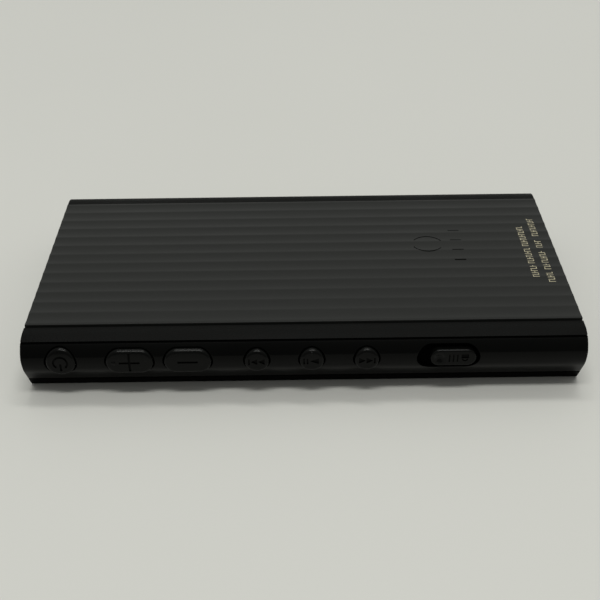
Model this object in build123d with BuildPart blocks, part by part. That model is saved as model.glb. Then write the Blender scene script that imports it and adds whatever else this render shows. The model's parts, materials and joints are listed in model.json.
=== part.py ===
from build123d import *

import os
from math import cos, radians, tan

# A pocket digital audio player lying face down: the screen glass is on z = 0, the
# corrugated rear panel is on top, the ports are at the +X end and the side keys face -Y.
# Millimetres, +Z up, origin under the middle of the body.

# --- Overall size -----------------------------------------------------------------
LENGTH = 98.4           # along X, end to end
WIDTH = 56.5            # along Y, at the widest line of the sides
THICKNESS = 11.8        # along Z, glass to the crests of the rear panel

# --- Body cross-section, the same along the whole length ----------------------------
WIDEST_Z = 8.4          # height of the widest line
FLANK_R = 6.5           # rounding below the widest line
FLANK_SWEEP = 33.0      # degrees it turns, which is also the lean of the straight flank
SHOULDER_R = 2.6        # tight rounding above the widest line
SHOULDER_SWEEP = 55.0   # degrees it turns before the wider crown takes over
BAND_Z = 11.5           # flat top of the side bands beside the rear panel
END_EASE = 0.15         # fillet round the flat ends
WALL = 1.3              # side walls of the frame
END_WALL = 1.6          # end walls of the frame

# --- Levels, bottom to top -----------------------------------------------------------
GLASS_TOP = 0.8
BEZEL_BOTTOM = 0.12
GASKET_TOP = 0.95
BEZEL_TOP = 2.4
DISPLAY_TOP = 2.6
PLATE_BOTTOM = 2.9
PLATE_TOP = 3.7
BOARD_BOTTOM = 5.0
BOARD_TOP = 5.8
COVER_BOTTOM = 10.15    # underside of the rear cover's floor
PARTING_Z = 10.8        # seam between the frame and the rear cover
SEAT_Z = 10.95          # seat of the rear panel
PANEL_BOTTOM = 11.05

# --- Front ----------------------------------------------------------------------------
GLASS_HALF = (48.4, 23.75)
DISPLAY_HALF = (42.0, 22.9)
OPENING_HALF = (42.3, 23.0)

# --- Rear panel -----------------------------------------------------------------------
PANEL_HALF = (49.1, 22.6)
SEAT_HALF_WIDTH = 22.85
WAVES = 13
WAVE_PITCH = 3.39
CREST_WIDTH = 0.6
WAVE_DEPTH = 0.1
CREST_DROP = 0.018      # fall from the crest line to the shoulders of a crest
PANEL_EDGE_DROP = 0.1

# --- Side keys, all centred at one height ------------------------------------------------
KEY_Z = 7.6
KEY_GAP = 0.15          # clearance round a key in the frame
# name: centre x, width, height, how far the key stands proud of the frame
KEYS = {
    "power": (-42.35, 5.25, 5.25, 0.1),
    "volume_up": (-30.35, 8.3, 4.6, 0.3),
    "volume_down": (-20.25, 8.3, 4.6, 0.3),
    "next": (-8.25, 4.3, 4.3, 0.45),
    "play": (1.3, 4.3, 4.3, 0.45),
    "previous": (10.85, 4.3, 4.3, 0.45),
}
KEY_BACK = 25.0         # distance of a key's rear face from the middle plane
SWITCH_FRONT = 24.0
SWITCH_BACK = 22.5
FLEX_BACK = 22.3
BRACKET_BACK = 21.8

# --- Hold slider -----------------------------------------------------------------------
HOLD_SLOT_X = 25.05
HOLD_SLOT = (11.0, 5.0)
HOLD_KNOB_X = 25.9      # knob's middle at rest, at the +X end of its slot
HOLD_KNOB = (8.0, 3.2)
HOLD_TRAVEL = 2.0
HOLD_FLOOR = 26.6       # distance of the recess floor from the middle plane
HOLD_PAD_BACK = 25.6

# --- Port end ---------------------------------------------------------------------------
PORT_Z = 7.45
JACK_Y = 12.0
JACK_R = 1.8
JACK_DEPTH = 14.0
USB_SIZE = (8.94, 3.26)
CARD_Y = -14.0
CARD_DOOR = (13.4, 2.3)
STRAP_Y = 21.3
STRAP_OPENING = (4.6, 2.4)

# --- Screws ------------------------------------------------------------------------------
SCREW_R = 0.5
SCREW_HOLE_R = 0.52
CLEARANCE_HOLE_R = 0.65
TAB_SIZE = (3.0, 2.4, 1.3)
TAB_HOLE_DEPTH = 1.1
TAB_X = 46.1
FRAME_TABS = [(-TAB_X, -19.0), (-TAB_X, 0.0), (-TAB_X, 19.0), (TAB_X, -6.1), (TAB_X, 6.7)]
BOARD_SCREWS = [(7.3, 2.0), (31.4, -4.4), (40.0, 20.0), (-43.5, -16.8)]

os.makedirs("parts", exist_ok=True)


def write(piece, label):
    """Label a finished piece and write its STEP file."""
    piece.part.label = label
    export_step(piece.part, f"parts/{label}.step")


def block(x, y, z, corner=0.0, mode=Mode.ADD):
    """Upright block between low and high x, y and z, with rounded upright edges."""
    with BuildSketch(Plane.XY.offset(z[0])) as outline:
        with Locations(((x[0] + x[1]) / 2, (y[0] + y[1]) / 2)):
            if corner:
                RectangleRounded(x[1] - x[0], y[1] - y[0], corner)
            else:
                Rectangle(x[1] - x[0], y[1] - y[0])
    extrude(outline.sketch, amount=z[1] - z[0], mode=mode)


def pill(width, height):
    """Slot-shaped outline, or a circle where it is as high as it is wide."""
    if width > height:
        SlotOverall(width, height)
    else:
        Circle(width / 2)


def side_pill(x, z, width, height, near, far, mode=Mode.ADD):
    """Pill through the -Y side, between two distances from the middle plane."""
    with BuildSketch(Plane.XZ.offset(near)) as outline:
        with Locations((x, z)):
            pill(width, height)
    extrude(outline.sketch, amount=far - near, mode=mode)


def end_pill(y, z, width, height, near, far, mode=Mode.ADD):
    """Pill along X near the +X end, between two x places."""
    with BuildSketch(Plane.YZ.offset(near)) as outline:
        with Locations((y, z)):
            pill(width, height)
    extrude(outline.sketch, amount=far - near, mode=mode)


def body_section(x, grow=0.0):
    """Closed outline of the body across its length, drawn at x."""
    widest = (WIDTH / 2, WIDEST_Z)
    crown_sweep = 90 - SHOULDER_SWEEP
    with BuildSketch(Plane.YZ.offset(x)) as section:
        with BuildLine():
            flank = JernArc(widest, (0, -1), FLANK_R, -FLANK_SWEEP)
            foot_y = (flank @ 1).X - (flank @ 1).Y * tan(radians(FLANK_SWEEP))
            Line(flank @ 1, (foot_y, 0))
            Line((foot_y, 0), (0, 0))
            shoulder = JernArc(widest, (0, 1), SHOULDER_R, SHOULDER_SWEEP)
            crown_r = (BAND_Z - (shoulder @ 1).Y) / (1 - cos(radians(crown_sweep)))
            crown = JernArc(shoulder @ 1, shoulder % 1, crown_r, crown_sweep)
            Line(crown @ 1, (0, BAND_Z))
            mirror(about=Plane.YZ)
        make_face()
        if grow:
            offset(amount=grow, kind=Kind.INTERSECTION)
    return section.sketch


# --- Forms that several pieces are cut from ----------------------------------------------

with BuildPart() as envelope:
    extrude(body_section(-LENGTH / 2), amount=LENGTH)
    fillet(envelope.faces().filter_by(Axis.X).edges(), END_EASE)

INNER_X = LENGTH / 2 - END_WALL

with BuildPart() as cavity:
    extrude(body_section(-INNER_X, grow=-WALL), amount=2 * INNER_X)


# --- Frame ---------------------------------------------------------------------------------

LIP_HALF_WIDTH = 24.6
STRAP_BLOCK_X = 44.6
STRAP_POCKET_X = 45.4
STRAP_POST_X = 47.0
STRAP_POST_R = 0.6
STRAP_POST_Z = (5.4, 9.4)

with BuildPart() as frame:
    add(envelope.part)
    split(bisect_by=Plane.XY.offset(BEZEL_TOP), keep=Keep.TOP)
    split(bisect_by=Plane.XY.offset(PARTING_Z), keep=Keep.BOTTOM)
    add(cavity.part, mode=Mode.SUBTRACT)
    # Open top, with a lip along each side that carries the rear cover.
    block((-INNER_X, INNER_X), (-LIP_HALF_WIDTH, LIP_HALF_WIDTH), (9.5, 11.2), mode=Mode.SUBTRACT)
    # End walls rise to the seat of the rear panel.
    for low, high in ((-LENGTH / 2 + END_EASE, -INNER_X), (INNER_X, LENGTH / 2 - END_EASE)):
        block((low, high), (-22.7, 22.7), (PARTING_Z, SEAT_Z))
    # Tabs that take the screws of the mid plate.
    for x, y in FRAME_TABS:
        depth, width, height = TAB_SIZE
        block((x - depth / 2, x + depth / 2), (y - width / 2, y + width / 2),
              (PLATE_TOP, PLATE_TOP + height))
    with Locations(Plane.XY.offset(PLATE_TOP)):
        with Locations(*FRAME_TABS):
            Cylinder(SCREW_HOLE_R, TAB_HOLE_DEPTH, align=(Align.CENTER, Align.CENTER, Align.MIN), mode=Mode.SUBTRACT)
    # Holes for the side keys.
    for x, width, height, proud in KEYS.values():
        side_pill(x, KEY_Z, width + 2 * KEY_GAP, height + 2 * KEY_GAP, 24, 30, mode=Mode.SUBTRACT)
    # Recess of the hold slider, floored by a pad inside the wall.
    block((18.4, 31.7), (-26.95, -HOLD_PAD_BACK), (4.6, 10.15))
    side_pill(HOLD_SLOT_X, KEY_Z, *HOLD_SLOT, HOLD_FLOOR, 30, mode=Mode.SUBTRACT)
    with BuildSketch(Plane.XZ.offset(24)):
        with Locations((HOLD_KNOB_X - HOLD_TRAVEL / 2, KEY_Z)):
            Rectangle(2.7 + HOLD_TRAVEL, 1.5)
    extrude(amount=4, mode=Mode.SUBTRACT)
    # Strap eye: a pocket at the +Y corner, crossed by a post.
    block((STRAP_BLOCK_X, INNER_X), (17.9, 25.0), (BOARD_BOTTOM, 9.8))
    with BuildSketch(Plane.YZ.offset(STRAP_POCKET_X)):
        with Locations((STRAP_Y, PORT_Z)):
            RectangleRounded(*STRAP_OPENING, 1.1)
    extrude(amount=5, mode=Mode.SUBTRACT)
    with BuildSketch(Plane.XY.offset(STRAP_POST_Z[0])):
        with Locations((STRAP_POST_X, STRAP_Y)):
            Circle(STRAP_POST_R + 0.02)
    extrude(amount=STRAP_POST_Z[1] - STRAP_POST_Z[0], mode=Mode.SUBTRACT)
    # Openings for the headphone jack, the USB port and the card door.
    end_pill(JACK_Y, PORT_Z, 6.24, 6.24, 47, 50, mode=Mode.SUBTRACT)
    end_pill(0, PORT_Z, USB_SIZE[0] + 0.4, USB_SIZE[1] + 0.4, 47, 50, mode=Mode.SUBTRACT)
    end_pill(CARD_Y, PORT_Z, CARD_DOOR[0] + 0.3, CARD_DOOR[1] + 0.3, 47, 50, mode=Mode.SUBTRACT)
write(frame, "frame")

with BuildPart() as strap_post:
    with BuildSketch(Plane.XY.offset(STRAP_POST_Z[0])):
        with Locations((STRAP_POST_X, STRAP_Y)):
            Circle(STRAP_POST_R)
    extrude(amount=STRAP_POST_Z[1] - STRAP_POST_Z[0])
write(strap_post, "strap_post")


# --- Front: bezel, glass, gasket and display ----------------------------------------------

with BuildPart() as front_bezel:
    add(envelope.part)
    split(bisect_by=Plane.XY.offset(BEZEL_BOTTOM), keep=Keep.TOP)
    split(bisect_by=Plane.XY.offset(BEZEL_TOP), keep=Keep.BOTTOM)
    block((-48.45, 48.45), (-23.8, 23.8), (0, GASKET_TOP), corner=1.2, mode=Mode.SUBTRACT)
    block((-OPENING_HALF[0], OPENING_HALF[0]), (-OPENING_HALF[1], OPENING_HALF[1]), (0, 3),
          mode=Mode.SUBTRACT)
write(front_bezel, "front_bezel")

with BuildPart() as front_glass:
    block((-GLASS_HALF[0], GLASS_HALF[0]), (-GLASS_HALF[1], GLASS_HALF[1]), (0, GLASS_TOP), corner=1.15)
    fillet(front_glass.faces().sort_by(Axis.Z)[0].edges(), 0.15)
write(front_glass, "front_glass")

with BuildPart() as display_gasket:
    block((-48.3, 48.3), (-23.7, 23.7), (GLASS_TOP, GASKET_TOP), corner=1.1)
    block((-OPENING_HALF[0], OPENING_HALF[0]), (-OPENING_HALF[1], OPENING_HALF[1]), (0, 3),
          mode=Mode.SUBTRACT)
write(display_gasket, "display_gasket")

with BuildPart() as display_module:
    block((-DISPLAY_HALF[0], DISPLAY_HALF[0]), (-DISPLAY_HALF[1], DISPLAY_HALF[1]),
          (GLASS_TOP, DISPLAY_TOP), corner=0.5)
write(display_module, "display_module")

FLEX_X = (-23.5, -16.5)
FLEX_Y = -14.1
FLEX_THICKNESS = 0.15

with BuildPart() as display_flex:
    block(FLEX_X, (FLEX_Y, -8.0), (DISPLAY_TOP, DISPLAY_TOP + FLEX_THICKNESS))
    block(FLEX_X, (FLEX_Y, FLEX_Y + FLEX_THICKNESS), (DISPLAY_TOP, 4.6))
    block(FLEX_X, (-15.0, FLEX_Y + FLEX_THICKNESS), (4.6 - FLEX_THICKNESS, 4.6))
write(display_flex, "display_flex")

with BuildPart() as display_connector:
    block((FLEX_X[0] - 0.5, FLEX_X[1] + 0.5), (-18.0, -15.0), (3.9, BOARD_BOTTOM))
write(display_connector, "display_connector")


# --- Rear: cover, adhesive and corrugated panel ----------------------------------------------

with BuildPart() as rear_cover:
    add(envelope.part)
    split(bisect_by=Plane.XY.offset(PARTING_Z), keep=Keep.TOP)
    block((-LENGTH, LENGTH), (-SEAT_HALF_WIDTH, SEAT_HALF_WIDTH), (PARTING_Z, THICKNESS),
          mode=Mode.SUBTRACT)
    block((-INNER_X + 0.2, INNER_X - 0.2), (-24.4, 24.4), (COVER_BOTTOM, SEAT_Z))
write(rear_cover, "rear_cover")

with BuildPart() as panel_adhesive:
    block((-47.0, 47.0), (-22.2, 22.2), (SEAT_Z, PANEL_BOTTOM))
write(panel_adhesive, "panel_adhesive")

with BuildPart() as rear_panel:
    # Rounded crests joined by wide shallow valleys, running the length of the panel.
    with BuildSketch(Plane.YZ.offset(-PANEL_HALF[0])):
        with BuildLine():
            first_crest = -WAVES * WAVE_PITCH / 2
            half_crest = CREST_WIDTH / 2
            edge = PANEL_HALF[1]
            shoulder_z = THICKNESS - CREST_DROP
            Line((edge, PANEL_BOTTOM), (-edge, PANEL_BOTTOM))
            Line((-edge, PANEL_BOTTOM), (-edge, shoulder_z - PANEL_EDGE_DROP))
            Line((-edge, shoulder_z - PANEL_EDGE_DROP), (first_crest - half_crest, shoulder_z))
            for wave in range(WAVES + 1):
                crest = first_crest + wave * WAVE_PITCH
                ThreePointArc((crest - half_crest, shoulder_z), (crest, THICKNESS),
                              (crest + half_crest, shoulder_z))
                if wave < WAVES:
                    ThreePointArc((crest + half_crest, shoulder_z),
                                  (crest + WAVE_PITCH / 2, THICKNESS - WAVE_DEPTH),
                                  (crest + WAVE_PITCH - half_crest, shoulder_z))
            Line((-first_crest + half_crest, shoulder_z), (edge, shoulder_z - PANEL_EDGE_DROP))
            Line((edge, shoulder_z - PANEL_EDGE_DROP), (edge, PANEL_BOTTOM))
        make_face()
    extrude(amount=2 * PANEL_HALF[0])
write(rear_panel, "rear_panel")


# --- Mid plate and its screws -----------------------------------------------------------------

with BuildPart() as mid_plate:
    block((-47.3, 47.3), (-24.2, 24.2), (PLATE_BOTTOM, PLATE_TOP), corner=0.5)
    for x, y in BOARD_SCREWS:
        with BuildSketch(Plane.XY.offset(PLATE_TOP)):
            with Locations((x, y)):
                Circle(1.5)
        extrude(amount=BOARD_BOTTOM - PLATE_TOP)
    for x, y in BOARD_SCREWS:
        with Locations((x, y, BOARD_BOTTOM)):
            Hole(SCREW_HOLE_R)
    for x, y in FRAME_TABS:
        with Locations((x, y, PLATE_TOP)):
            Hole(CLEARANCE_HOLE_R)
    block((FLEX_X[0] - 0.5, FLEX_X[1] + 0.5), (-14.6, -13.4), (2, 4), mode=Mode.SUBTRACT)
    # Windows that lighten the plate under the battery.
    for x in (-34.0, -8.0):
        block((x - 7, x + 7), (4.0, 18.0), (2, 4), corner=2.0, mode=Mode.SUBTRACT)
write(mid_plate, "mid_plate")

with BuildPart() as mid_plate_screws:
    for x, y in FRAME_TABS:
        with BuildSketch(Plane.XY.offset(PLATE_BOTTOM - 0.45)):
            with Locations((x, y)):
                Circle(0.95)
        extrude(amount=0.45)
        with BuildSketch(Plane.XY.offset(PLATE_BOTTOM)):
            with Locations((x, y)):
                Circle(SCREW_R)
        extrude(amount=1.7)
write(mid_plate_screws, "mid_plate_screws")


# --- Main board and what is soldered to it ---------------------------------------------------

BOARD_Y = (-21.3, 24.4)
BOARD_ARM_Y = -12.6

with BuildPart() as main_board:
    block((5.0, 47.3), BOARD_Y, (BOARD_BOTTOM, BOARD_TOP))
    block((-46.5, 5.0), (BOARD_Y[0], BOARD_ARM_Y), (BOARD_BOTTOM, BOARD_TOP))
    block((34.4, 48.0), (JACK_Y - 3.1, JACK_Y + 3.1), (4, 7), mode=Mode.SUBTRACT)
    block((STRAP_BLOCK_X - 0.4, 48.0), (17.5, 25.0), (4, 7), mode=Mode.SUBTRACT)
    for x, y in BOARD_SCREWS:
        with Locations((x, y, BOARD_TOP)):
            Hole(CLEARANCE_HOLE_R)
write(main_board, "main_board")

with BuildPart() as board_screws:
    for x, y in BOARD_SCREWS:
        with BuildSketch(Plane.XY.offset(3.9)):
            with Locations((x, y)):
                Circle(SCREW_R)
        extrude(amount=BOARD_TOP - 3.9)
        with BuildSketch(Plane.XY.offset(BOARD_TOP)):
            with Locations((x, y)):
                Circle(1.1)
        extrude(amount=0.5)
write(board_screws, "board_screws")

# Packaged chips: x range, y range, height above the board.
CHIPS = {
    "processor": ((11.0, 22.0), (-18.5, -7.5), 1.0),
    "memory_chip": ((12.0, 21.0), (-6.3, -0.8), 0.9),
    "power_chip": ((23.5, 28.0), (-15.0, -10.5), 0.8),
    "audio_chip": ((20.0, 25.0), (12.0, 17.0), 0.8),
    "wireless_module": ((33.2, 40.8), (-3.8, 4.4), 1.6),
}
for name, (x, y, height) in CHIPS.items():
    with BuildPart() as chip:
        block(x, y, (BOARD_TOP, BOARD_TOP + height))
        chamfer(chip.faces().sort_by(Axis.Z)[-1].edges(), 0.1)
    write(chip, name)

with BuildPart() as audio_oscillators:
    for y in (7.0, 20.5):
        block((21.0, 23.5), (y - 1.0, y + 1.0), (BOARD_TOP, BOARD_TOP + 0.8))
write(audio_oscillators, "audio_oscillators")

with BuildPart() as audio_capacitors:
    for y in (6.0, 10.5, 15.0, 19.5):
        block((28.0, 31.5), (y - 1.4, y + 1.4), (BOARD_TOP, BOARD_TOP + 1.9))
write(audio_capacitors, "audio_capacitors")

SHIELD_WALL = 0.2
SHIELD_TOP = BOARD_TOP + 2.2
# Shield cans: x range and y range, open underneath.
SHIELDS = {
    "processor_shield": ((9.5, 29.5), (-20.5, 0.4)),
    "audio_shield": ((13.0, 32.8), (3.5, 23.5)),
}
for name, (x, y) in SHIELDS.items():
    with BuildPart() as shield:
        block(x, y, (BOARD_TOP, SHIELD_TOP), corner=0.8)
        offset(amount=-SHIELD_WALL, openings=shield.faces().sort_by(Axis.Z)[0])
    write(shield, name)

with BuildPart() as heat_sheet:
    block((10.0, 29.0), (-20.0, 0.0), (SHIELD_TOP, SHIELD_TOP + 0.1))
write(heat_sheet, "heat_sheet")

with BuildPart() as wireless_antenna:
    block((-INNER_X, -INNER_X + 0.2), (4.0, 22.0), (6.0, 9.5))
write(wireless_antenna, "wireless_antenna")


# --- Battery ---------------------------------------------------------------------------------

BATTERY_X = (-44.0, 3.0)
BATTERY_Y = (-11.8, 23.4)
BATTERY_Z = (4.0, 9.0)

with BuildPart() as battery:
    block(BATTERY_X, BATTERY_Y, BATTERY_Z, corner=2.0)
    fillet(battery.edges().group_by(Axis.Z)[0] + battery.edges().group_by(Axis.Z)[-1], 0.8)
write(battery, "battery")

with BuildPart() as battery_pad:
    block((-42.5, 1.5), (-10.3, 2.5), (PLATE_TOP, BATTERY_Z[0]))
write(battery_pad, "battery_pad")

with BuildPart() as battery_foam:
    block((-36.0, -5.0), (-6.0, 18.0), (BATTERY_Z[1], COVER_BOTTOM))
write(battery_foam, "battery_foam")

with BuildPart() as battery_socket:
    block((5.6, 9.4), (12.6, 17.8), (BOARD_TOP, BOARD_TOP + 0.5))
write(battery_socket, "battery_socket")

with BuildPart() as battery_plug:
    block((5.8, 8.8), (13.0, 17.4), (BOARD_TOP + 0.5, 7.7))
write(battery_plug, "battery_plug")

with BuildPart() as battery_leads:
    for y in (14.2, 15.2, 16.2):
        with BuildSketch(Plane.YZ.offset(BATTERY_X[1])):
            with Locations((y, 7.0)):
                Circle(0.3)
        extrude(amount=5.8 - BATTERY_X[1])
write(battery_leads, "battery_leads")


# --- Headphone jack ----------------------------------------------------------------------------

JACK_FACE_X = 49.0
JACK_NOSE_R = 2.55

with BuildPart() as headphone_jack:
    block((34.8, 47.3), (JACK_Y - 2.75, JACK_Y + 2.75), (PORT_Z - 2.65, PORT_Z + 2.65))
    end_pill(JACK_Y, PORT_Z, 2 * JACK_NOSE_R, 2 * JACK_NOSE_R, 47.3, JACK_FACE_X)
    end_pill(JACK_Y, PORT_Z, 2 * JACK_R, 2 * JACK_R, JACK_FACE_X - JACK_DEPTH, JACK_FACE_X,
             mode=Mode.SUBTRACT)
write(headphone_jack, "headphone_jack")

with BuildPart() as jack_contacts:
    for x in (37.0, 41.0, 45.0):
        block((x - 0.8, x + 0.8), (JACK_Y - 3.05, JACK_Y - 2.75), (BOARD_TOP, 8.5))
        block((x - 0.8, x + 0.8), (JACK_Y - 4.4, JACK_Y - 2.75), (BOARD_TOP, BOARD_TOP + 0.2))
write(jack_contacts, "jack_contacts")

with BuildPart() as jack_ring:
    end_pill(JACK_Y, PORT_Z, 6.2, 6.2, INNER_X, LENGTH / 2)
    end_pill(JACK_Y, PORT_Z, 5.2, 5.2, INNER_X, LENGTH / 2, mode=Mode.SUBTRACT)
    chamfer(jack_ring.faces().sort_by(Axis.X)[-1].edges(), 0.1)
write(jack_ring, "jack_ring")


# --- USB port ------------------------------------------------------------------------------------

USB_BACK_X = 41.6
USB_SHELL_WALL = 0.3

with BuildPart() as usb_shell:
    end_pill(0, PORT_Z, *USB_SIZE, USB_BACK_X, 49.0)
    end_pill(0, PORT_Z, USB_SIZE[0] - 2 * USB_SHELL_WALL, USB_SIZE[1] - 2 * USB_SHELL_WALL,
             USB_BACK_X, 49.0, mode=Mode.SUBTRACT)
write(usb_shell, "usb_shell")

with BuildPart() as usb_tongue:
    end_pill(0, PORT_Z, USB_SIZE[0] - 2 * USB_SHELL_WALL - 0.04,
             USB_SIZE[1] - 2 * USB_SHELL_WALL - 0.04, USB_BACK_X, USB_BACK_X + 1.6)
    block((USB_BACK_X + 1.6, 48.0), (-3.35, 3.35), (PORT_Z - 0.35, PORT_Z + 0.35))
write(usb_tongue, "usb_tongue")


# --- Card socket and tray ----------------------------------------------------------------------

TRAY_X = (31.5, 47.8)
TRAY_Z = (PORT_Z - 0.6, PORT_Z + 0.6)

with BuildPart() as card_socket:
    block((30.4, 46.9), (CARD_Y - 7.2, CARD_Y + 7.1), (BOARD_TOP, 9.0))
    block((TRAY_X[0] - 0.4, 47.0), (CARD_Y - 6.4, CARD_Y + 6.4), (TRAY_Z[0] - 0.25, TRAY_Z[1] + 0.25),
          mode=Mode.SUBTRACT)
write(card_socket, "card_socket")

with BuildPart() as card_tray:
    block(TRAY_X, (CARD_Y - 6.2, CARD_Y + 6.2), TRAY_Z)
    block((32.2, 47.3), (CARD_Y - 5.55, CARD_Y + 5.55), (TRAY_Z[0] + 0.4, TRAY_Z[1]), corner=0.5,
          mode=Mode.SUBTRACT)
write(card_tray, "card_tray")

with BuildPart() as card_door:
    end_pill(CARD_Y, PORT_Z, *CARD_DOOR, TRAY_X[1], LENGTH / 2 - 0.05)
    # Groove for a fingernail along the lower edge.
    block((48.5, 50.0), (CARD_Y - 3.0, CARD_Y + 3.0), (PORT_Z - 2.0, PORT_Z - 0.75), mode=Mode.SUBTRACT)
write(card_door, "card_door")


# --- Side keys: caps, switch plungers, switches, flex and bracket --------------------------------

PLUNGER_R = 0.9
NUB_R = 0.7
WING_REACH = 0.6        # how far a key's wings reach behind the frame wall
WING_Z = (6.8, 9.0)
WING_Y = (26.0, 26.55)
NUB_FRONT = 24.45

for name, (x, width, height, proud) in KEYS.items():
    with BuildPart() as skin:
        extrude(body_section(-LENGTH / 2, grow=proud), amount=LENGTH)
    with BuildPart() as cap:
        side_pill(x, KEY_Z, width, height, KEY_BACK, 30)
        add(skin.part, mode=Mode.INTERSECT)
        block((x - width / 2 - WING_REACH, x + width / 2 + WING_REACH), (-WING_Y[1], -WING_Y[0]), WING_Z)
        side_pill(x, KEY_Z, 2 * NUB_R, 2 * NUB_R, NUB_FRONT, KEY_BACK)
    write(cap, f"{name}_button")
    with BuildPart() as plunger:
        side_pill(x, KEY_Z, 2 * PLUNGER_R, 2 * PLUNGER_R, NUB_FRONT - 1.0, NUB_FRONT)
    write(plunger, f"{name}_plunger")

with BuildPart() as key_switches:
    for x, width, height, proud in KEYS.values():
        block((x - 2.0, x + 2.0), (-SWITCH_FRONT, -SWITCH_BACK), (KEY_Z - 1.5, KEY_Z + 1.5))
    for x, width, height, proud in KEYS.values():
        side_pill(x, KEY_Z, 2.1, 2.1, SWITCH_FRONT - 1.1, SWITCH_FRONT, mode=Mode.SUBTRACT)
write(key_switches, "key_switches")

with BuildPart() as key_flex:
    block((-46.0, 32.0), (-SWITCH_BACK, -FLEX_BACK), (5.9, 9.1))
write(key_flex, "key_flex")

with BuildPart() as key_bracket:
    block((-46.0, 32.0), (-FLEX_BACK, -BRACKET_BACK), (PLATE_TOP, 9.9))
    block((-46.0, 32.0), (-24.1, -FLEX_BACK), (PLATE_TOP, 4.15))
write(key_bracket, "key_bracket")


# --- Hold slider: knob, switch lever and switch -----------------------------------------------

LEVER_WIDTH = 0.8

with BuildPart() as hold_skin:
    extrude(body_section(-LENGTH / 2, grow=0.1), amount=LENGTH)

with BuildPart() as hold_knob:
    side_pill(HOLD_KNOB_X, KEY_Z, *HOLD_KNOB, HOLD_FLOOR + 0.2, 30)
    add(hold_skin.part, mode=Mode.INTERSECT)
    block((HOLD_KNOB_X - 1.2, HOLD_KNOB_X + 1.2), (-HOLD_FLOOR - 0.2, -25.5), (KEY_Z - 0.6, KEY_Z + 0.6))
    block((HOLD_KNOB_X - 2.6, HOLD_KNOB_X + 2.6), (-25.5, -24.9), (KEY_Z - 1.4, KEY_Z + 1.4))
    block((HOLD_KNOB_X - 0.45, HOLD_KNOB_X + 0.45), (-26.0, -24.8), (KEY_Z - 0.45, KEY_Z + 0.45),
          mode=Mode.SUBTRACT)
write(hold_knob, "hold_knob")

with BuildPart() as hold_lever:
    block((HOLD_KNOB_X - LEVER_WIDTH / 2, HOLD_KNOB_X + LEVER_WIDTH / 2), (-25.6, -23.2),
          (KEY_Z - LEVER_WIDTH / 2, KEY_Z + LEVER_WIDTH / 2))
write(hold_lever, "hold_lever")

with BuildPart() as hold_switch:
    block((21.7, 28.1), (-SWITCH_FRONT, -SWITCH_BACK), (KEY_Z - 1.3, KEY_Z + 1.3))
    block((HOLD_KNOB_X - HOLD_TRAVEL - 0.6, HOLD_KNOB_X + 0.6), (-24.5, -23.0),
          (KEY_Z - 0.6, KEY_Z + 0.6), mode=Mode.SUBTRACT)
write(hold_switch, "hold_switch")
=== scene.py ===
import json
import math

import bmesh
import bpy
import numpy as np
from mathutils import Matrix, Vector
from mathutils.geometry import delaunay_2d_cdt


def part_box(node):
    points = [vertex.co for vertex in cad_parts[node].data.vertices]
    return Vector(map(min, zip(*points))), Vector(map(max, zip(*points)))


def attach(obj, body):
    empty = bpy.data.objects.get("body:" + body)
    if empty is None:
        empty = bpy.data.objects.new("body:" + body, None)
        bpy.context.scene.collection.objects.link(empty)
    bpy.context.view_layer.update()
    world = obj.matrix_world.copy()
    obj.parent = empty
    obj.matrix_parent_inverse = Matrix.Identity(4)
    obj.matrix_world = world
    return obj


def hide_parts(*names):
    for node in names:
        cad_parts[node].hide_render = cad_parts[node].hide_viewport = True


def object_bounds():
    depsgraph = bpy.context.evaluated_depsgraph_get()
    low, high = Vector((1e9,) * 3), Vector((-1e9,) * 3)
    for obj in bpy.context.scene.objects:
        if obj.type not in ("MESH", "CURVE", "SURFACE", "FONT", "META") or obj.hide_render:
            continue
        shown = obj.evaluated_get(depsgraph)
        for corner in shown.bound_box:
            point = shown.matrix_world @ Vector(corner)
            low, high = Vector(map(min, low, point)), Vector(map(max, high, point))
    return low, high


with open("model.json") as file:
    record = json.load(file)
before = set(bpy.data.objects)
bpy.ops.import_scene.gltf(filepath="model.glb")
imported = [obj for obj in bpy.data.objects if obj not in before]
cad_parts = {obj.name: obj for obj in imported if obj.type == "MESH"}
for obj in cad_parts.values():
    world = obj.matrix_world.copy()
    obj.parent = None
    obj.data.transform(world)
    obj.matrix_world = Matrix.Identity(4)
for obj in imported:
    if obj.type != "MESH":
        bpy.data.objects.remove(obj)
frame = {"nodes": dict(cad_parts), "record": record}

# A pocket audio player lying face down. The outer pieces are modelled finely here around the
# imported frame; the inner pieces keep their CAD shape and get their materials.

CAD_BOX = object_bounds()
MM = 0.001

# --- Sizes taken from the frame -------------------------------------------------------------
FRAME_LOW, FRAME_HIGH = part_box("frame")
PANEL_LOW, PANEL_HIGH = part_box("rear_panel")
COVER_LOW, COVER_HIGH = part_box("rear_cover")
BEZEL_LOW, BEZEL_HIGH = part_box("front_bezel")
HALF_LENGTH = FRAME_HIGH.x
HALF_WIDTH = FRAME_HIGH.y
SEAM_TOP = 10.8 * MM                # seam between the frame and the rear cover
SEAM_BOTTOM = FRAME_LOW.z           # seam between the frame and the front bezel
BAND_Z = COVER_HIGH.z               # flat top of the bands beside the rear panel

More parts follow.
